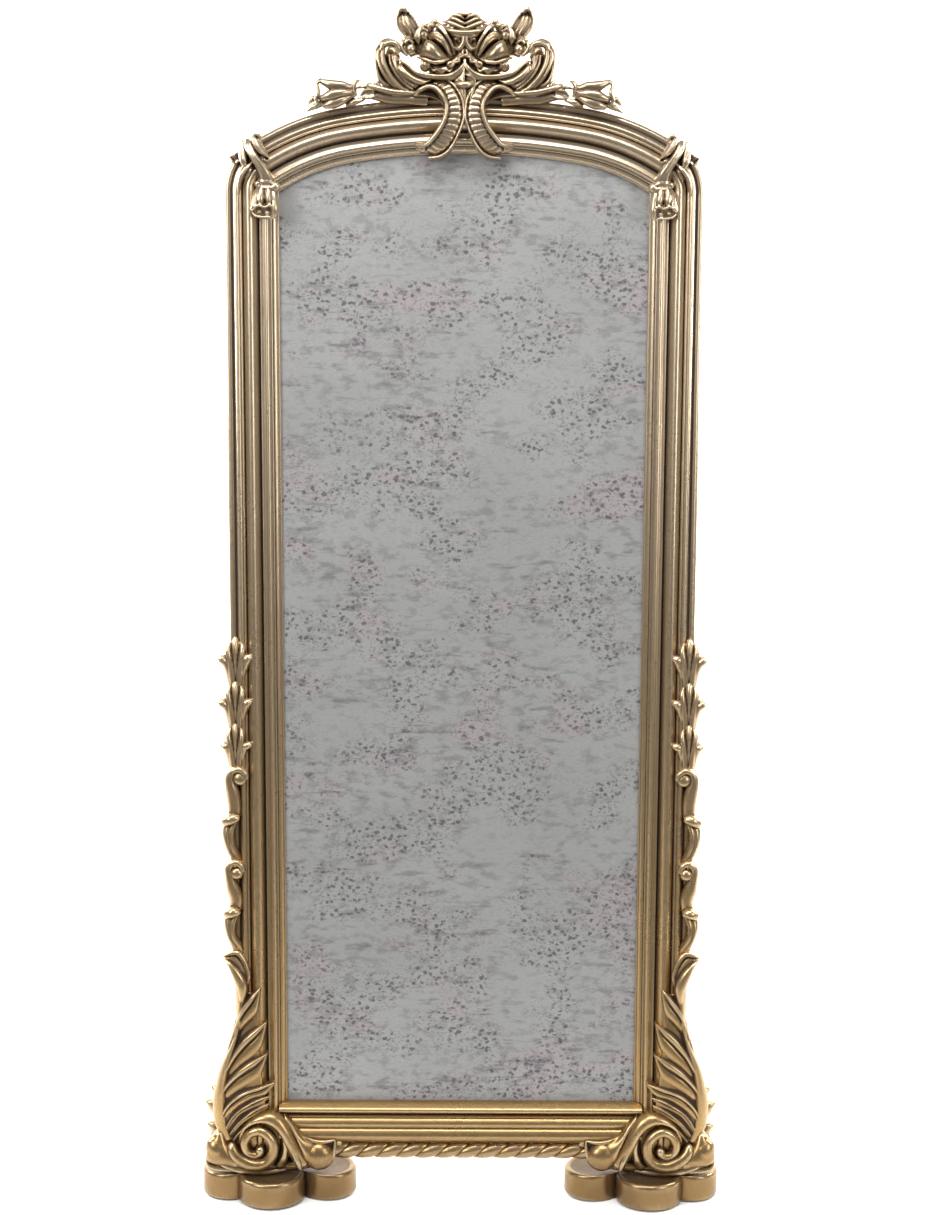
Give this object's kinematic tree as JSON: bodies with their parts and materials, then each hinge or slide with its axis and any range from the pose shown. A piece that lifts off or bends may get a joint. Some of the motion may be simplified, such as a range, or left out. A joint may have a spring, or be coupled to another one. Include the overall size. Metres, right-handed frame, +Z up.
{
  "type": "floor mirror",
  "caption": "Tall arched floor mirror: antiqued glass in a carved, champagne-gilt moulded frame with a floral crest, scrolled sides and multi-lobed feet.",
  "frame": {"origin": "on the floor, midway between the feet and midway between their front and back", "axes": "+Z up; +X to the viewer's right when facing the glass; the glass faces -Y, so +Y is towards the back"},
  "size_m": [0.942, 0.18, 2.0994],
  "materials": {
    "gilt": "satin champagne gilding over wood, rubbed back on the high places, with brown glaze in the hollows",
    "mirror": "antiqued grey mirror glass with dark foxing spots",
    "backboard": "plain board",
    "bare_wood": "unfinished softwood",
    "felt": "felt"
  },
  "bodies": {
    "root": {"acanthus_left": "gilt", "acanthus_right": "gilt", "arch_head": "gilt", "backing_board": "backboard", "bellflower_left": "gilt", "bellflower_right": "gilt", "bottom_rail": "gilt", "corner_clasp_left": "gilt", "corner_clasp_right": "gilt", "crest_foliage": "gilt", "crest_keel": "gilt", "crest_leaf_left": "gilt", "crest_leaf_right": "gilt", "crest_rose": "gilt", "crest_scroll_left": "gilt", "crest_scroll_right": "gilt", "crest_strap_left": "gilt", "crest_strap_right": "gilt", "crest_tulip_left": "gilt", "crest_tulip_right": "gilt", "cross_batten_lower": "bare_wood", "cross_batten_upper": "bare_wood", "felt_glide_front_left": "felt", "felt_glide_front_right": "felt", "felt_glide_rear_left": "felt", "felt_glide_rear_right": "felt", "foot_left": "gilt", "foot_right": "gilt", "garland_left": "gilt", "garland_right": "gilt", "glazing_fillet_arch": "bare_wood", "glazing_fillet_bottom": "bare_wood", "glazing_fillet_left": "bare_wood", "glazing_fillet_right": "bare_wood", "heel_leaf_left": "gilt", "heel_leaf_right": "gilt", "husk_drop_left": "gilt", "husk_drop_right": "gilt", "mirror_glass": "mirror", "rear_leaf_left": "gilt", "rear_leaf_right": "gilt", "rear_strut_left": "gilt", "rear_strut_right": "gilt", "rope_moulding": "gilt", "shoulder_block_left": "gilt", "shoulder_block_right": "gilt", "side_scroll_lower_left": "gilt", "side_scroll_lower_right": "gilt", "side_scroll_upper_left": "gilt", "side_scroll_upper_right": "gilt", "sight_slip_arch": "gilt", "sight_slip_left": "gilt", "sight_slip_right": "gilt", "sill_bead": "gilt", "stile_left": "gilt", "stile_right": "gilt", "toe_leaf_left": "gilt", "toe_leaf_right": "gilt", "volute_left": "gilt", "volute_right": "gilt"}
  },
  "joints": []
}
